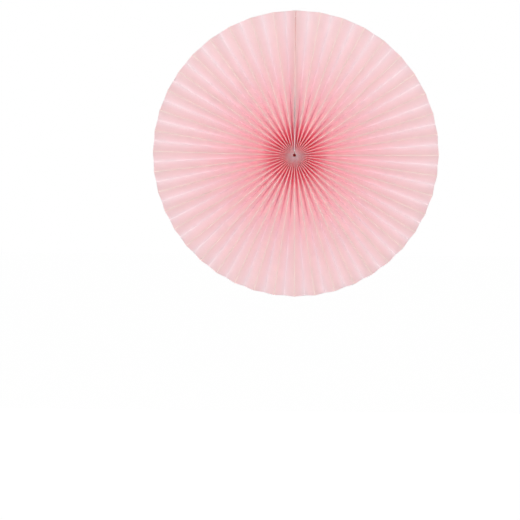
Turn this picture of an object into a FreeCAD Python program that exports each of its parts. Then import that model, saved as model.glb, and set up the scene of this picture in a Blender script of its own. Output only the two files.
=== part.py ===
# Paper fan rosette, hanging upright with its open front towards -Y.
# Millimetres. X is to the right as seen from the front, Z is up, and the hub lies on the Y axis.
# Three pieces: the pleated paper, the tape that joins its two ends at the top, and the string
# that gathers it at the hub.
import FreeCAD, Part
import math
import os

# The paper
fan_diameter = 400.0
pleat_count = 42
panel_width = 20.0
paper_thickness = 0.14
hub_packing = 1.12          # distance between panels at the hub, in paper thicknesses

# How the hand-opened fan lies: its rim is not quite central on the hub, and its pleats
# are opened wider at the top and the bottom than at the sides
rim_shift_x = 1.65
rim_shift_z = 1.1
top_opening = 3.7           # degrees
side_opening = 1.05         # degrees
side_turn = 0.19            # degrees

# The tape between the two end panels
tape_thickness = 0.8
tape_width = 17.5
tape_start = 7.0            # from the hub's axis
tape_rim_margin = 9.0
tape_recess_hub = 0.3       # how far its front edge lies behind the paper's
tape_recess_rim = 1.5

# The string through the panels beside the hub, and its knot
string_diameter = 0.7
string_ring_radius = 5.0
string_lay = 0.25            # half the distance between its two ends, laid together
string_hole_clearance = 0.08
bend_margin = 0.04          # from an end panel to the string's bend beside it
knot_length = 5.0
knot_clearance = 0.04
knot_rounding = 1.2

stations = 6                # steps along each fold from hub to rim

fold_count = 2 * pleat_count
seam_half = tape_thickness / 2
seam_line = seam_half + paper_thickness
hub_step = hub_packing * paper_thickness
hub_radius = (fold_count * hub_step + 2 * seam_line) / (2 * math.pi)
rim_radius = fan_diameter / 2


# Angle of a fold at the rim, clockwise from the top as seen from the front
def rim_angle(fold):
    turn = 2 * math.pi * fold / fold_count
    drift = (top_opening * math.sin(turn) + side_opening * math.sin(2 * turn)
             + side_turn * (1 - math.cos(2 * turn)))
    return turn + math.radians(drift)


# Hub end and rim end of a fold, as x and z. The first and last folds run beside the seam.
def fold_ends(fold):
    if fold in (0, fold_count):
        x = seam_line if fold == 0 else -seam_line
        hub_z = math.sqrt(hub_radius ** 2 - x ** 2)
        rim_z = rim_shift_z + math.sqrt(rim_radius ** 2 - (x - rim_shift_x) ** 2)
        return (x, hub_z), (x, rim_z)
    around = (seam_line + fold * hub_step) / hub_radius
    turn = rim_angle(fold)
    return ((hub_radius * math.sin(around), hub_radius * math.cos(around)),
            (rim_shift_x + rim_radius * math.sin(turn), rim_shift_z + rim_radius * math.cos(turn)))


def fold_point(fold, share):
    hub, rim = fold_ends(fold)
    return hub[0] + (rim[0] - hub[0]) * share, hub[1] + (rim[1] - hub[1]) * share


# Direction across a fold, clockwise
def fold_across(fold):
    hub, rim = fold_ends(fold)
    length = math.hypot(rim[0] - hub[0], rim[1] - hub[1])
    return (rim[1] - hub[1]) / length, -(rim[0] - hub[0]) / length


# Mean distance from a fold to the folds beside it
def half_pitch(fold, share):
    here = fold_point(fold, share)
    steps = []
    for other in (fold - 1, fold + 1):
        if 0 <= other <= fold_count:
            there = fold_point(other, share)
            steps.append(math.hypot(there[0] - here[0], there[1] - here[1]))
    return sum(steps) / len(steps)


# Half width of the flat on a crease, and the depth from the front folds to the back folds
def crease_size(step):
    flat = paper_thickness
    for _ in range(6):
        lean = min((step - flat) / panel_width, 0.98)
        flat = paper_thickness * (1 - lean) / math.sqrt(1 - lean ** 2)
    return flat, paper_thickness + panel_width * math.sqrt(1 - lean ** 2)


# The corners of a crease: the left and right ends of its flat, and the inside of the bend
def crease(fold, share):
    x, z = fold_point(fold, share)
    across_x, across_z = fold_across(fold)
    flat, depth = crease_size(half_pitch(fold, share))
    side = -1 if fold % 2 == 0 else 1
    y = side * depth / 2
    left = paper_thickness if fold == 0 else flat
    right = paper_thickness if fold == fold_count else flat
    return (FreeCAD.Vector(x - left * across_x, y, z - left * across_z),
            FreeCAD.Vector(x + right * across_x, y, z + right * across_z),
            FreeCAD.Vector(x, y - side * paper_thickness, z))


def face(*points):
    return Part.Face(Part.makePolygon(list(points) + [points[0]]))


def bent_strip(first, second):
    made = []
    for i in range(len(first) - 1):
        made.append(face(first[i], second[i], second[i + 1]))
        made.append(face(first[i], second[i + 1], first[i + 1]))
    return made


def flat_strip(first, second):
    return [face(first[i], second[i], second[i + 1], first[i + 1]) for i in range(len(first) - 1)]


# The back edge of the end panel that stands straight back from a seam fold
def free_edge(corners, x):
    return [FreeCAD.Vector(x, p.y + panel_width, p.z) for p in corners]


# The corners of every crease between two stations, and of the two end panels
def sheet_lines(first, last):
    shares = [i / stations for i in range(first, last + 1)]
    creases = [[crease(fold, share) for share in shares] for fold in range(fold_count + 1)]
    lefts, rights, insides = ([[c[n] for c in line] for line in creases] for n in range(3))
    ends = []
    for side, seam in ((1, lefts[0]), (-1, rights[-1])):
        inside = insides[0] if side > 0 else insides[-1]
        ends.append((seam, inside, free_edge(seam, side * seam_half), free_edge(seam, side * seam_line)))
    return lefts, rights, insides, ends


def sheet_faces(lines):
    lefts, rights, insides, ends = lines
    faces = []
    for fold in range(fold_count + 1):
        faces += flat_strip(lefts[fold], rights[fold])
        if fold < fold_count:
            faces += bent_strip(rights[fold], insides[fold + 1])
            faces += bent_strip(insides[fold], lefts[fold + 1])
    for seam, inside, back_seam, back_inside in ends:
        faces.append(face(*(seam + back_seam[::-1])))
        faces.append(face(*(inside + back_inside[::-1])))
        faces += flat_strip(back_seam, back_inside)
    return faces


# The cut edge of the sheet at the hub or the rim
def edge_faces(lines, i):
    lefts, rights, insides, ends = lines
    faces = []
    for fold in range(fold_count + 1):
        if 0 < fold < fold_count:
            faces.append(face(lefts[fold][i], rights[fold][i], insides[fold][i]))
        if fold < fold_count:
            faces.append(face(rights[fold][i], insides[fold + 1][i], lefts[fold + 1][i]))
            faces.append(face(rights[fold][i], lefts[fold + 1][i], insides[fold][i]))
    for (seam, inside, back_seam, back_inside), free in zip(ends, (rights[0], lefts[-1])):
        faces.append(face(seam[i], free[i], inside[i], back_inside[i], back_seam[i]))
    return faces


def closed_solid(faces):
    shell = Part.Shell(faces)
    shell.sewShape()
    solid = Part.Solid(shell)
    if solid.Volume < 0:
        solid.reverse()
    return solid


# A ring of eight-sided tube through all the panels, which bends only between them. It is the
# string's run, and a little larger it cuts the straight hole for it in each panel.
def ring_tube(size):
    edge = math.asin((seam_line + bend_margin) / string_ring_radius)
    share = (string_ring_radius - hub_radius) / (rim_radius - hub_radius)
    turns = [math.atan2(*fold_point(fold, share)) % (2 * math.pi) for fold in range(1, fold_count)]
    rings = []
    for turn in [edge] + turns + [2 * math.pi - edge]:
        ring = []
        for corner in range(8):
            bend = math.radians(22.5 + 45 * corner)
            out = string_ring_radius + size * math.cos(bend)
            ring.append(FreeCAD.Vector(out * math.sin(turn), size * math.sin(bend), out * math.cos(turn)))
        rings.append(ring)
    faces = []
    for i, ring in enumerate(rings):
        after = rings[(i + 1) % len(rings)]
        for n in range(8):
            faces.append(face(ring[n], ring[(n + 1) % 8], after[(n + 1) % 8], after[n]))
    return closed_solid(faces)


# The holes for the string lie in the first stretch of the sheet, which is punched by itself
# and then closed together with the rest.
def pleated_paper():
    near = sheet_lines(0, 1)
    far = sheet_lines(1, stations)
    band = closed_solid(sheet_faces(near) + edge_faces(near, 0) + edge_faces(near, 1))
    punched = band.cut(ring_tube(string_diameter / 2 + string_hole_clearance))
    reach = min(math.hypot(line[1].x, line[1].z) for line in near[2]) * 0.85
    kept = [f for f in punched.Faces if math.hypot(f.CenterOfMass.x, f.CenterOfMass.z) < reach]
    return closed_solid(kept + sheet_faces(far) + edge_faces(far, -1))


# Front edge of the end panels at a height on the seam
def seam_front(z):
    line = [crease(0, i / stations)[0] for i in range(stations + 1)]
    for low, high in zip(line, line[1:]):
        if z <= high.z or high is line[-1]:
            return low.y + (high.y - low.y) * (z - low.z) / (high.z - low.z)


def seam_tape():
    top = crease(0, 1)[0].z - tape_rim_margin
    heights = [tape_start] + [crease(0, i / stations)[0].z for i in range(1, stations)] + [top]
    front, back = [], []
    for z in heights:
        share = (z - tape_start) / (top - tape_start)
        y = seam_front(z) + tape_recess_hub + (tape_recess_rim - tape_recess_hub) * share
        front.append(FreeCAD.Vector(-seam_half, y, z))
        back.append(FreeCAD.Vector(-seam_half, y + tape_width, z))
    return face(*(front + back[::-1])).extrude(FreeCAD.Vector(tape_thickness, 0, 0))


# The string runs round through every panel. Both its ends come in along the seam to the knot.
def binding_string():
    radius = string_diameter / 2
    along = FreeCAD.Vector(0, 1, 0)
    knot = Part.makeCylinder(hub_radius - knot_clearance, knot_length,
                             FreeCAD.Vector(0, -knot_length / 2, 0), along)
    knot = knot.makeFillet(knot_rounding, [e for e in knot.Edges if e.Closed and e.Length > 1])
    legs = [Part.makeCylinder(radius, string_ring_radius, FreeCAD.Vector(0, y, 0), FreeCAD.Vector(0, 0, 1))
            for y in (-string_lay, string_lay)]
    return ring_tube(radius).fuse([knot] + legs)


def main():
    os.makedirs("parts", exist_ok=True)
    for name, make in (("pleated_paper", pleated_paper), ("seam_tape", seam_tape),
                       ("binding_string", binding_string)):
        shape = make()
        shape.exportStep(f"parts/{name}.step")
        print(name, "solids", len(shape.Solids), "faces", len(shape.Faces), "valid", shape.isValid(),
              "volume", round(shape.Volume, 1))


main()
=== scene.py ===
# A pleated paper fan rosette, hung upright. Metres; +X to the right, the front towards -Y, +Z up.
import bpy, bmesh
import math, random
from mathutils import Matrix, Vector, noise


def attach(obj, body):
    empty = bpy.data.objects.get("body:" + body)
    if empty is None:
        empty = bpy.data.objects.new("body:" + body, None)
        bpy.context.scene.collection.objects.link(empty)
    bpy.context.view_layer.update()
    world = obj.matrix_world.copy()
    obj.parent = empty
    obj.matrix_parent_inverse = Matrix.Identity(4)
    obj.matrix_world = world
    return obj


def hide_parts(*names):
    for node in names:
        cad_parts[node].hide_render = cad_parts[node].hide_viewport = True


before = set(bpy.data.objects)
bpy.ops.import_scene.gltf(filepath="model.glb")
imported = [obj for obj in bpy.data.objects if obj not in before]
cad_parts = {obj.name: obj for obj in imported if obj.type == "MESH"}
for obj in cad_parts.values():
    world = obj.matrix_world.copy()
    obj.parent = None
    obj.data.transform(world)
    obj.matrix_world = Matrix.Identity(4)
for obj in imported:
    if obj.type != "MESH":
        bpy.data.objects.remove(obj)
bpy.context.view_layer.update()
scene = bpy.context.scene


def newMaterial(name):
    mat = bpy.data.materials.new(name)
    mat.use_nodes = True
    mat.node_tree.nodes.clear()
    return mat, mat.node_tree


def node(tree, kind, x, y, inputs=None, **values):      # an input is a number, a colour or another node's output
    made = tree.nodes.new(kind)
    made.location = (x, y)
    for key, value in values.items():
        setattr(made, key, value)
    for key, given in (inputs or {}).items():
        if isinstance(given, bpy.types.NodeSocket):
            tree.links.new(given, made.inputs[key])
        else:
            made.inputs[key].default_value = given
    return made


def blend(tree, x, y, factor, first, second, kind="MIX"):       # 6, 7 and 2 are the sockets of the colours
    return node(tree, "ShaderNodeMix", x, y, {0: factor, 6: first, 7: second},
                data_type="RGBA", blend_type=kind).outputs[2]


def ramp(tree, x, y, source, stops):        # a stop is a place from 0 to 1 and a colour
    made = node(tree, "ShaderNodeValToRGB", x, y, {0: source})
    elements = made.color_ramp.elements
    for number, (place, colour) in enumerate(stops):
        element = elements[number] if number < 2 else elements.new(place)
        element.position = place
        element.color = (*colour, 1)
    return made.outputs[0]


def meshObject(name, bm, mat):
    mesh = bpy.data.meshes.new(name)
    bm.to_mesh(mesh)
    bm.free()
    mesh.materials.append(mat)
    made = bpy.data.objects.new(name, mesh)
    scene.collection.objects.link(made)
    return made


def meshPiece(name, bm, mat, slotName, *replaced):
    piece = meshObject(name, bm, mat)
    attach(piece, "root")
    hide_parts(*replaced)
    piece.data.shade_smooth()
    return piece


# the pleated paper: its folds first, then its colours
fan = {
    "radius": 0.200,
    "pleats": 42,
    "panelWidth": 0.020,
    "thickness": 0.00014,
    "rimShift": (0.00165, 0.0011),       # the rim's middle from the hub's, to the right and up
    "topOpening": 3.7,           # degrees: the folds stand wider at the top than at the bottom
    "sideOpening": 1.05,         # and wider at top and bottom than at the sides
    "sideTurn": 0.19,            # and those at both sides are turned a little clockwise
    "hubPacking": 1.12,          # spacing of the folds at the hub, in thicknesses
    "leanLimit": 0.98,           # most of a panel's width that may lie across
    "seamHalf": 0.0004,          # half the tape's thickness
    "tapeMargin": 0.0085,        # this far in from the rim, past the tape's end, the seam starts to close
    "seamClosing": 0.0015,       # and after this length it is shut
    "closingParts": (0.15, 1.0),         # how much of that the panels' front and back edges do
    "shutHalf": 0.00009,         # half the distance between the middles of the shut panels
    "creaseFlat": (0.0003, 0.00028),     # half the rounded width of a crease, at hub and rim
    "frontInset": 0.58,          # which is never more than these shares of the pitch
    "backInset": 0.25,
    "creaseLean": 0.25,          # how far a crease's shoulders lean towards the panels
    "bow": 0.00012,              # how far a panel bellies out between its creases
    "bowRange": (0.5, 1.4),      # times a factor for each panel
    "bowGrowth": 3,              # it is whole from a third of the way out
    "ripple": 0.00012,           # slow unevenness of the panels
    "rippleWaves": (5, 0.8),     # its pace along and across a panel
    "panelSteps": (0.0, 0.35, 0.65, 1.0),        # columns of points across a panel, between its creases
    "rows": 44,
    "rowSpread": 1.15,           # above 1 the rows stand closer at the hub
    "sharpFrom": 10,             # degrees: folds steeper than this stay sharp
    "seed": 7,
    "rimPinkAndPaintedLight": (                # place between the front crease and the back one, and the colour there: the paper's pink with painted highlights along both creases
        (0.00, (1.000, 0.965, 0.925)),   # the crease itself, paler and a touch warmer: a painted highlight
        (0.05, (0.996, 0.935, 0.925)),
        (0.50, (0.978, 0.910, 0.926)),
        (0.55, (0.978, 0.910, 0.926)),
        (1.00, (0.922, 0.940, 0.960)),   # cooler and paler in the back creases: a painted highlight along the valleys
    ),
    # the paper's pink with a painted highlight at the front crease and painted shade, a deeper pink, in the back
    # creases
    "midPinkAndPaintedLight": (
        (0.00, (1.000, 0.965, 0.925)),
        (0.05, (0.996, 0.935, 0.925)),
        (0.50, (0.978, 0.910, 0.926)),
        (1.00, (0.978, 0.875, 0.915)),
    ),
    "hubPinkAndPaintedShade": (                # deeper near the hub: painted shade for the deep, close-packed folds, with a painted highlight at the front crease
        (0.00, (1.000, 0.860, 0.920)),
        (0.06, (0.982, 0.700, 0.800)),
        (0.40, (0.966, 0.585, 0.720)),
        (1.00, (0.963, 0.530, 0.670)),
    ),
    "hubShadeEnds": (0.0, 0.255),      # shares of the radius between which the hub's painted shade and its redder glow give way
    "rimHighlightEnds": (0.3, 0.75),        # and those between which the rim's painted valley highlights begin
    "mottle": (1.0, 0.97, 0.965),        # darkest patches, as a share of the colour
    "rough": 0.85,
    "gloss": 0.0,
    "fibre": 0.05,               # strength of the fibre bump
    "fibreHeight": 0.00005,
    "glow": (0.98, 0.69, 0.74),          # light that comes through is redder
    # much redder near the hub: painted, standing in for light that has come through many close folds
    "hubGlow": (0.98, 0.07, 0.27),
    "through": 0.32,             # share of the light that enters the sheet
    "ridgeThrough": 0.22,        # less of it at the front creases
    "ridgeWidth": 0.05,          # and up to this place between front and back
    "hubThrough": 0.32,          # but as much right at the hub, where only the creases show
    "hubEnds": (0.02, 0.085),    # shares of the radius between which that gives way
}
folds = 2 * fan["pleats"]
seamLine = fan["seamHalf"] + fan["thickness"]
hubStep = fan["hubPacking"] * fan["thickness"]
hubRadius = (folds * hubStep + 2 * seamLine) / (2 * math.pi)


def foldEnds(fold):     # hub and rim end of a fold, as x and z
    if fold in (0, folds):
        x = seamLine if fold == 0 else -seamLine
        rimZ = fan["rimShift"][1] + math.sqrt(fan["radius"] ** 2 - (x - fan["rimShift"][0]) ** 2)
        return Vector((x, math.sqrt(hubRadius ** 2 - x ** 2))), Vector((x, rimZ))
    around = (seamLine + fold * hubStep) / hubRadius
    turn = 2 * math.pi * fold / folds
    angle = turn + math.radians(fan["topOpening"] * math.sin(turn) + fan["sideOpening"] * math.sin(2 * turn)
                                + fan["sideTurn"] * (1 - math.cos(2 * turn)))
    hub = Vector((math.sin(around), math.cos(around))) * hubRadius
    rim = Vector(fan["rimShift"]) + Vector((math.sin(angle), math.cos(angle))) * fan["radius"]
    return hub, rim


foldLines = [foldEnds(fold) for fold in range(folds + 1)]


def foldPoint(fold, share):
    hub, rim = foldLines[fold]
    return hub.lerp(rim, share)


def creaseAt(fold, share):      # a crease at one share of its way out; side is -1 in front and 1 behind
    here = foldPoint(fold, share)
    near = [foldPoint(n, share) for n in (fold - 1, fold + 1) if 0 <= n <= folds]
    pitch = sum((there - here).length for there in near) / len(near)
    flat = fan["thickness"]
    for _ in range(6):          # a few rounds settle how much of the pitch the thickness takes
        lean = min((pitch - flat) / fan["panelWidth"], fan["leanLimit"])
        flat = fan["thickness"] * (1 - lean) / math.sqrt(1 - lean ** 2)
    depth = fan["panelWidth"] * math.sqrt(1 - lean ** 2)
    side = -1 if fold % 2 == 0 else 1
    hub, rim = foldLines[fold]
    along = (rim - hub).normalized()
    return {"middle": Vector((here.x, side * depth / 2, here.y)), "across": Vector((along.y, 0, -along.x)),
            "side": side, "depth": depth}


def seamEnds(panel, crease, rimZ, flatHalf):        # an end panel stands straight back, and closes past the tape
    half = fan["seamHalf"] + fan["thickness"] / 2
    shut = min(max((crease.z - rimZ + fan["tapeMargin"]) / fan["seamClosing"], 0.0), 1.0)
    xFront, xBack = [(1 if panel == 0 else -1) * (half - (half - fan["shutHalf"]) * shut * part)
                     for part in fan["closingParts"]]
    front = Vector((xFront, crease.y + flatHalf, crease.z))
    back = Vector((xBack, crease.y + fan["panelWidth"], crease.z))
    return (back, front) if panel == 0 else (front, back)


def panelEnds(left, right, flatHalf):       # where the flat part of a panel starts and ends
    across = (right["middle"] - left["middle"]).normalized()
    pitch = ((right["middle"] - left["middle"]) * Vector((1, 0, 1))).length     # as seen from the front

    def inset(crease):
        most = fan["frontInset"] if crease["side"] < 0 else fan["backInset"]
        shoulder = crease["across"] * (1 - fan["creaseLean"]) + across * fan["creaseLean"]
        return shoulder * min(flatHalf, pitch * most)

    return left["middle"] + inset(left), right["middle"] - inset(right)


def foldPaper():
    # a flat strip of grid: columns run round the fan, rows from hub to rim
    steps, rows = fan["panelSteps"], fan["rows"]
    columns = (folds + 2) * len(steps) + (folds + 1)
    bm = bmesh.new()
    bmesh.ops.create_grid(bm, x_segments=columns - 1, y_segments=rows, size=0.5)
    depthLayer = bm.verts.layers.float.new("foldDepth")     # 0 at the front creases, 1 at the back ones
    outLayer = bm.verts.layers.float.new("fromHub")         # 0 at the hub, 1 at the rim
    rng = random.Random(fan["seed"])
    bows = [rng.uniform(*fan["bowRange"]) for _ in range(folds + 2)]
    spots = [rng.uniform(-50, 50) for _ in range(folds + 2)]        # where each panel reads the noise
    shares = [(row / rows) ** fan["rowSpread"] for row in range(rows + 1)]
    creases = [[creaseAt(fold, share) for share in shares] for fold in range(folds + 1)]
    rimZ = creases[0][rows]["middle"].z
    for vert in bm.verts:
        column = round((vert.co.x + 0.5) * (columns - 1))
        row = round((vert.co.y + 0.5) * rows)
        panel, step = divmod(column, len(steps) + 1)
        share = shares[row]
        vert[outLayer] = share
        crease = creases[min(panel, folds)][row]
        if step == len(steps):          # the tip of a crease
            vert.co = crease["middle"]
            vert[depthLayer] = 0.0 if crease["side"] < 0 else 1.0
            continue
        flatHalf = fan["creaseFlat"][0] + (fan["creaseFlat"][1] - fan["creaseFlat"][0]) * share
        if panel in (0, folds + 1):
            start, end = seamEnds(panel, crease["middle"], rimZ, flatHalf)
            point = start.lerp(end, steps[step])
        else:
            start, end = panelEnds(creases[panel - 1][row], crease, flatHalf)
            point = start.lerp(end, steps[step])
            normal = (end - start).cross(Vector((start.x, 0, start.z))).normalized()
            room = min(1.0, share * fan["bowGrowth"]) * math.sin(math.pi * steps[step])
            pace, paceAcross = fan["rippleWaves"]
            wave = noise.noise(Vector((spots[panel], share * pace, steps[step] * paceAcross)))
            point += normal * room * (fan["bow"] * bows[panel] + fan["ripple"] * wave)
        vert.co = point
        vert[depthLayer] = min(max(point.y / crease["depth"] + 0.5, 0.0), 1.0)
    bmesh.ops.recalc_face_normals(bm, faces=bm.faces)
    for vert in bm.verts:               # half the thickness to each side of the middle
        vert.co -= vert.normal * fan["thickness"] / 2
    bmesh.ops.solidify(bm, geom=bm.faces[:], thickness=-fan["thickness"])
    bmesh.ops.recalc_face_normals(bm, faces=bm.faces)
    return bm


def paperMaterial():
    mat, tree = newMaterial("pinkPaper")
    place = node(tree, "ShaderNodeTexCoord", -900, 0).outputs["Object"]
    depth = node(tree, "ShaderNodeAttribute", -900, 500, attribute_name="foldDepth").outputs["Fac"]
    fromHub = node(tree, "ShaderNodeAttribute", -900, 800, attribute_name="fromHub").outputs["Fac"]

    def outwards(y, ends, hubValue=0.0, rimValue=1.0):      # eases from one value to the other
        inputs = {0: fromHub, 1: ends[0], 2: ends[1], 3: hubValue, 4: rimValue}
        return node(tree, "ShaderNodeMapRange", -600, y, inputs, interpolation_type="SMOOTHSTEP").outputs[0]

    # painted shade: whole at the hub, gone past a quarter of the radius
    hubShadeEnds = outwards(800, fan["hubShadeEnds"])
    # the pink with painted highlights and shade by fold depth, blended from the hub's tints to the rim's
    outer = blend(tree, 0, 800, outwards(1100, fan["rimHighlightEnds"]), ramp(tree, -300, 1100, depth, fan["midPinkAndPaintedLight"]),
                  ramp(tree, -300, 800, depth, fan["rimPinkAndPaintedLight"]))
    tint = blend(tree, 200, 600, hubShadeEnds, ramp(tree, -300, 500, depth, fan["hubPinkAndPaintedShade"]), outer)
    mottle = node(tree, "ShaderNodeTexNoise", -600, 200,
                  {"Vector": place, "Scale": 60.0, "Detail": 4.0, "Roughness": 0.6})
    patches = ramp(tree, -300, 200, mottle.outputs[0], ((0.0, fan["mottle"]), (1.0, (1, 1, 1))))
    fibre = node(tree, "ShaderNodeTexNoise", -600, -200,
                 {"Vector": place, "Scale": 2600.0, "Detail": 3.0, "Roughness": 0.7})
    bump = node(tree, "ShaderNodeBump", -300, -200,
                {"Height": fibre.outputs[0], "Strength": fan["fibre"], "Distance": fan["fibreHeight"]})
    skin = node(tree, "ShaderNodeBsdfPrincipled", 600, 0,
                {"Base Color": blend(tree, 400, 300, 1.0, tint, patches, "MULTIPLY"), "Roughness": fan["rough"],
                 "Specular IOR Level": fan["gloss"], "Normal": bump.outputs[0]})
    # the colour of the light that comes through, painted much redder near the hub
    glow = blend(tree, 0, -400, hubShadeEnds, (*fan["hubGlow"], 1), (*fan["glow"], 1))
    through = node(tree, "ShaderNodeBsdfTranslucent", 600, -400, {"Color": glow})
    creaseEntering = outwards(1400, fan["hubEnds"], fan["hubThrough"], fan["ridgeThrough"])
    entering = node(tree, "ShaderNodeMapRange", 600, 300,
                    {0: depth, 2: fan["ridgeWidth"], 3: creaseEntering, 4: fan["through"]})
    mix = node(tree, "ShaderNodeMixShader", 900, 0,
               {0: entering.outputs[0], 1: skin.outputs[0], 2: through.outputs[0]})
    node(tree, "ShaderNodeOutputMaterial", 1100, 0, {"Surface": mix.outputs[0]})
    return mat


paper = meshPiece("pleatedPaper", foldPaper(), paperMaterial(), "paper", "pleated_paper")
paper.data.set_sharp_from_angle(angle=math.radians(fan["sharpFrom"]))
print("paper folded", len(paper.data.vertices), "points")


# the foam tape in the seam
tapeLook = {
    "seamLightAndShade": (                  # height above the hub's axis, and the colour there: painted shade and light along the seam
        (0.000, (0.97, 0.64, 0.70)),
        (0.028, (0.93, 0.58, 0.64)),
        (0.040, (0.34, 0.20, 0.25)),     # a darker stretch near the hub: painted shade, where the foam lies deep in the seam
        (0.064, (0.38, 0.25, 0.30)),
        (0.084, (0.74, 0.58, 0.62)),
        (0.108, (0.97, 0.84, 0.86)),
        (0.135, (0.97, 0.80, 0.82)),
        (0.160, (0.88, 0.70, 0.72)),
        (0.200, (0.86, 0.68, 0.70)),
    ),
    "cells": 900.0,              # foam cells a metre
    "cellShade": 0.92,           # the cells' middles, as a share of the colour: painted shade in the foam's pits
    "pits": 0.4,                 # strength of the foam's bump
    "pitDepth": 0.0002,
    "rough": 0.9,
    "gloss": 0.2,
}


def tapeMaterial():
    mat, tree = newMaterial("foamTape")
    place = node(tree, "ShaderNodeTexCoord", -900, 0).outputs["Object"]
    height = node(tree, "ShaderNodeSeparateXYZ", -700, 200, {0: place}).outputs["Z"]
    reach = tapeLook["seamLightAndShade"][-1][0]
    along = node(tree, "ShaderNodeMapRange", -500, 200, {0: height, 2: reach})
    seamLightAndShade = ramp(tree, -300, 200, along.outputs[0], [(z / reach, colour) for z, colour in tapeLook["seamLightAndShade"]])
    foam = node(tree, "ShaderNodeTexVoronoi", -500, -200, {"Vector": place, "Scale": tapeLook["cells"]})
    foamPitShade = node(tree, "ShaderNodeMapRange", -300, -50, {0: foam.outputs["Distance"], 3: tapeLook["cellShade"]})
    bump = node(tree, "ShaderNodeBump", 0, -200, {"Height": foam.outputs["Distance"],
                                                  "Strength": tapeLook["pits"], "Distance": tapeLook["pitDepth"]})
    skin = node(tree, "ShaderNodeBsdfPrincipled", 300, 0,
                {"Base Color": blend(tree, 0, 200, 1.0, seamLightAndShade, foamPitShade.outputs[0], "MULTIPLY"),
                 "Roughness": tapeLook["rough"], "Specular IOR Level": tapeLook["gloss"],
                 "Normal": bump.outputs[0]})
    node(tree, "ShaderNodeOutputMaterial", 600, 0, {"Surface": skin.outputs[0]})
    return mat


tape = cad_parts["seam_tape"]
tape.data.materials.clear()
tape.data.materials.append(tapeMaterial())
print("tape finished")


# the string at the hub: it runs round through the panels, and both its ends go into the knot
string = {
    "ringRadius": 0.005,
    "ringStep": 12,              # degrees between the ring's control points
    "lay": 0.00025,              # the two ends lie this far behind and before the middle
    "firstEnd": (0.0008, 0.0022, 0.0036, 0.0048),        # heights from the knot to the ring
    "secondEnd": (0.0048, 0.0036, 0.0024),               # and back again
    "strandRadius": 0.000185,
    "strandOut": 0.000165,       # the strands' middle from the cord's own
    "strands": 3,
    "sides": 7,
    "twist": 0.0023,             # length of one turn of the strands
    "knotRadius": 0.00114,       # the knot's windings swing in and out about this radius
    "knotSwing": 0.00076,
    "knotHalf": 0.0020,          # and this far to the front and the back
    "windings": 5,
    "swings": 16,
    "swingPoints": 11,
    "tucked": (0.0012, -0.0016),         # the end goes through the knot's middle from back to front
    "curveSteps": 5,
    # a deep red, darker than the string's own pink: painted shade for the knot deep in the hub's hole
    "red": (0.85, 0.035, 0.04),
    # darker where the fibres' noise is low and on the strands' sides that face the cord's middle: fibre tone and
    # painted shade between the strands
    "darkRedAndStrandShade": (0.50, 0.015, 0.02),
    "redFrom": 0.55,             # from this height on a strand the red is whole
    "fibresAlong": 1500,         # scale of the fibres along a strand
    "fibresRound": 1.5,          # and round it
    "fibresApart": 9,            # so that no two strands have the same fibres
    "fuzz": 0.6,                 # strength of the fibre bump
    "fuzzHeight": 0.00004,
    "rough": 0.9,
    "gloss": 0.15,
    "sheen": 0.15,
}


def stringRoute():      # control points of one run: first end, ring, second end, knot
    lay, out, step = string["lay"], string["ringRadius"], string["ringStep"]
    points = [Vector((0, lay, z)) for z in string["firstEnd"]]
    for turn in range(step, 361 - step, step):
        angle = math.radians(turn)
        points.append(Vector((out * math.sin(angle), lay * math.cos(angle / 2), out * math.cos(angle))))
    points += [Vector((0, -lay, z)) for z in string["secondEnd"]]
    count = string["swingPoints"] * string["swings"]
    for number in range(count + 1):
        share = number / count
        around = 2 * math.pi * string["windings"] * share
        swing = 2 * math.pi * string["swings"] * share
        out = string["knotRadius"] + string["knotSwing"] * math.cos(swing)
        y = -string["knotHalf"] * math.sin(swing)
        points.append(Vector((out * math.sin(around), y, out * math.cos(around))))
    return points + [Vector((0, y, 0)) for y in string["tucked"]]


def smoothRoute(points):
    data = bpy.data.curves.new("stringRoute", "CURVE")
    data.dimensions = "3D"
    spline = data.splines.new("NURBS")
    spline.points.add(len(points) - 1)
    for made, point in zip(spline.points, points):
        made.co = (*point, 1)
    spline.order_u = 3
    spline.use_endpoint_u = True
    spline.resolution_u = string["curveSteps"]
    curve = bpy.data.objects.new("stringRoute", data)
    mesh = bpy.data.meshes.new_from_object(curve)
    route = [vert.co.copy() for vert in mesh.vertices]
    bpy.data.objects.remove(curve)
    bpy.data.curves.remove(data)
    bpy.data.meshes.remove(mesh)
    return route


def twistString():
    route = smoothRoute(stringRoute())
    last = len(route) - 1
    stations = []
    side, length = Vector((1, 0, 0)), 0.0
    for number, point in enumerate(route):
        after, before = route[min(number + 1, last)], route[max(number - 1, 0)]
        ahead = (after - before).normalized()
        side = (side - ahead * side.dot(ahead)).normalized()
        length += (point - before).length
        stations.append((point, side, ahead.cross(side), length))
    bm = bmesh.new()
    placeLayer = bm.verts.layers.float_vector.new("strandPlace")     # along, and round the strand
    depthLayer = bm.verts.layers.float.new("strandDepth")            # 0 in the middle of the cord
    for strand in range(string["strands"]):
        grid = bmesh.ops.create_grid(bm, x_segments=string["sides"], y_segments=last, size=0.5)["verts"]
        for vert in grid:
            point, right, up, gone = stations[round((vert.co.y + 0.5) * last)]
            turn = 2 * math.pi * (gone / string["twist"] + strand / string["strands"])
            around = 2 * math.pi * (vert.co.x + 0.5)
            middle = right * math.cos(turn) + up * math.sin(turn)
            spread = right * math.cos(turn + around) + up * math.sin(turn + around)
            vert.co = point + middle * string["strandOut"] + spread * string["strandRadius"]
            vert[placeLayer] = (gone * string["fibresAlong"],
                                string["fibresRound"] * math.cos(around) + string["fibresApart"] * strand,
                                string["fibresRound"] * math.sin(around))
            vert[depthLayer] = 0.5 + 0.5 * math.cos(around)
        bmesh.ops.remove_doubles(bm, verts=grid, dist=1e-7)
    bmesh.ops.holes_fill(bm, edges=[edge for edge in bm.edges if edge.is_boundary], sides=0)
    bmesh.ops.recalc_face_normals(bm, faces=bm.faces)
    return bm


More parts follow.
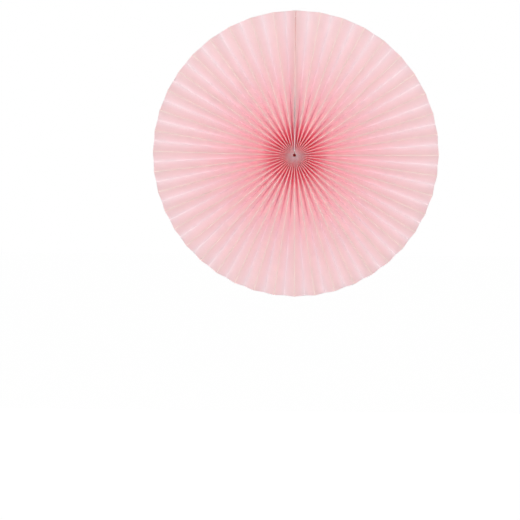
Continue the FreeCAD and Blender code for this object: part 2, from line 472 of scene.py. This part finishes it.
def stringMaterial():
    mat, tree = newMaterial("redCotton")
    place = node(tree, "ShaderNodeAttribute", -900, 0, attribute_name="strandPlace").outputs["Vector"]
    depth = node(tree, "ShaderNodeAttribute", -600, 300, attribute_name="strandDepth").outputs["Fac"]
    fibres = node(tree, "ShaderNodeTexNoise", -600, 0,
                  {"Vector": place, "Scale": 1.6, "Detail": 3.0, "Roughness": 0.7}).outputs[0]
    # fibre tone times the painted shade between the strands
    fibresAndStrandShade = node(tree, "ShaderNodeMath", -300, 200, {0: fibres, 1: depth}, operation="MULTIPLY").outputs[0]
    redWithStrandShade = ramp(tree, -100, 200, fibresAndStrandShade, ((0.0, string["darkRedAndStrandShade"]), (string["redFrom"], string["red"])))
    bump = node(tree, "ShaderNodeBump", 0, -200,
                {"Height": fibres, "Strength": string["fuzz"], "Distance": string["fuzzHeight"]}).outputs[0]
    skin = node(tree, "ShaderNodeBsdfPrincipled", 300, 0,
                {"Base Color": redWithStrandShade, "Roughness": string["rough"], "Specular IOR Level": string["gloss"],
                 "Sheen Weight": string["sheen"], "Normal": bump})
    node(tree, "ShaderNodeOutputMaterial", 600, 0, {"Surface": skin.outputs[0]})
    return mat


cord = meshPiece("bindingString", twistString(), stringMaterial(), "string", "binding_string")
print("string twisted", len(cord.data.vertices), "points")


# camera, lights and floor
view = {
    "distance": 2.6,
    "above": 1.5,                # degrees above the fan's own axis
    "aim": (-0.0473, 0.0, -0.1480),
    "lens": 128.15,
    "roll": 0.4,                 # degrees
}
lights = {
    "tint": (0.98, 1.0, 0.97),
    "world": 0.08,
    "sidePower": 38.3,
    "sidePlace": (1.45, -3.7, 0.1),      # a pair: the right light at x and -z, the left one at -x and z
    "sideSize": (0.8, 0.8),
    "kickPower": 16.9,
    "kickPlace": (2.9, -2.3, 0.25),      # a second pair, further round
    "kickSize": (1.2, 1.5),
    "frontPower": 10.8,
    "frontPlace": (0.0, -2.3, 1.9),
    "frontSize": (1.6, 1.2),
    "backPower": 36.0,
    "backPlace": (0.0, 1.6, -0.35),
    "backSize": (2.0, 2.0),
    "bounces": 96,               # light finds its way out of the deep folds only after many bounces
}
ground = {
    "height": -0.62,
    "reach": 6,
    "colour": (0.7, 0.7, 0.7),
    "rough": 0.9,
    "white": 1.06,               # strength of the white that the camera sees
    "whiteShare": 0.93,          # the rest is the lit floor with the shadow
}


def facing(place, aim):
    turn = (Vector(aim) - Vector(place)).to_track_quat("-Z", "Y").to_matrix().to_4x4()
    return Matrix.Translation(place) @ turn


def placeCamera():
    data = bpy.data.cameras.new("camera")
    data.lens = view["lens"]
    data.sensor_width = 36
    data.clip_end = 100
    camera = bpy.data.objects.new("camera", data)
    scene.collection.objects.link(camera)
    rise = math.radians(view["above"])
    place = Vector((0, -math.cos(rise), math.sin(rise))) * view["distance"]
    camera.matrix_world = facing(place, view["aim"]) @ Matrix.Rotation(math.radians(view["roll"]), 4, "Z")
    scene.camera = camera


def areaLight(name, kind, place):
    data = bpy.data.lights.new(name, "AREA")
    data.shape = "RECTANGLE"
    data.size, data.size_y = lights[kind + "Size"]
    data.energy = lights[kind + "Power"]
    data.color = lights["tint"]
    lamp = bpy.data.objects.new(name, data)
    scene.collection.objects.link(lamp)
    lamp.matrix_world = facing(place, (0, 0, 0))
    lamp.visible_camera = False


def placeLights():
    for pair in ("side", "kick"):
        x, y, z = lights[pair + "Place"]
        areaLight(pair + "Right", pair, (x, y, -z))
        areaLight(pair + "Left", pair, (-x, y, z))
    for single in ("back", "front"):
        areaLight(single + "Light", single, lights[single + "Place"])


def lightWorld():       # white to the camera and in reflections, dim as a light
    world = bpy.data.worlds.new("studio")
    scene.world = world
    world.use_nodes = True
    tree = world.node_tree
    tree.nodes.clear()
    rays = node(tree, "ShaderNodeLightPath", -600, 0).outputs
    direct = node(tree, "ShaderNodeMath", -300, 300, {0: rays["Is Camera Ray"], 1: rays["Is Glossy Ray"]},
                  operation="MAXIMUM").outputs[0]
    seen = node(tree, "ShaderNodeMath", 0, 300, {0: direct, 1: rays["Is Transmission Ray"]},
                operation="MAXIMUM").outputs[0]
    glow = node(tree, "ShaderNodeBackground", 0, 100,
                {"Color": (*lights["tint"], 1), "Strength": lights["world"]})
    white = node(tree, "ShaderNodeBackground", 0, -100, {"Color": (1, 1, 1, 1), "Strength": 1.0})
    mix = node(tree, "ShaderNodeMixShader", 300, 0, {0: seen, 1: glow.outputs[0], 2: white.outputs[0]})
    node(tree, "ShaderNodeOutputWorld", 600, 0, {"Surface": mix.outputs[0]})


def floorMaterial():
    mat, tree = newMaterial("paleFloor")
    rays = node(tree, "ShaderNodeLightPath", -300, 300).outputs
    seen = node(tree, "ShaderNodeMath", 0, 300, {0: rays["Is Camera Ray"], 1: ground["whiteShare"]},
                operation="MULTIPLY").outputs[0]
    skin = node(tree, "ShaderNodeBsdfPrincipled", 0, 0,
                {"Base Color": (*ground["colour"], 1), "Roughness": ground["rough"]})
    glow = node(tree, "ShaderNodeEmission", 0, -300, {"Strength": ground["white"]})
    mix = node(tree, "ShaderNodeMixShader", 300, 0, {0: seen, 1: skin.outputs[0], 2: glow.outputs[0]})
    node(tree, "ShaderNodeOutputMaterial", 600, 0, {"Surface": mix.outputs[0]})
    return mat


def layFloor():
    bm = bmesh.new()
    bmesh.ops.create_grid(bm, x_segments=1, y_segments=1, size=ground["reach"])
    bmesh.ops.translate(bm, verts=bm.verts, vec=(0, 0, ground["height"]))
    floor = meshObject("floor", bm, floorMaterial())


placeCamera()
placeLights()
lightWorld()
layFloor()
scene.view_settings.view_transform = "Standard"
scene.cycles.max_bounces = lights["bounces"]
scene.cycles.diffuse_bounces = lights["bounces"]
scene.cycles.transmission_bounces = lights["bounces"]
print("camera and lights placed")
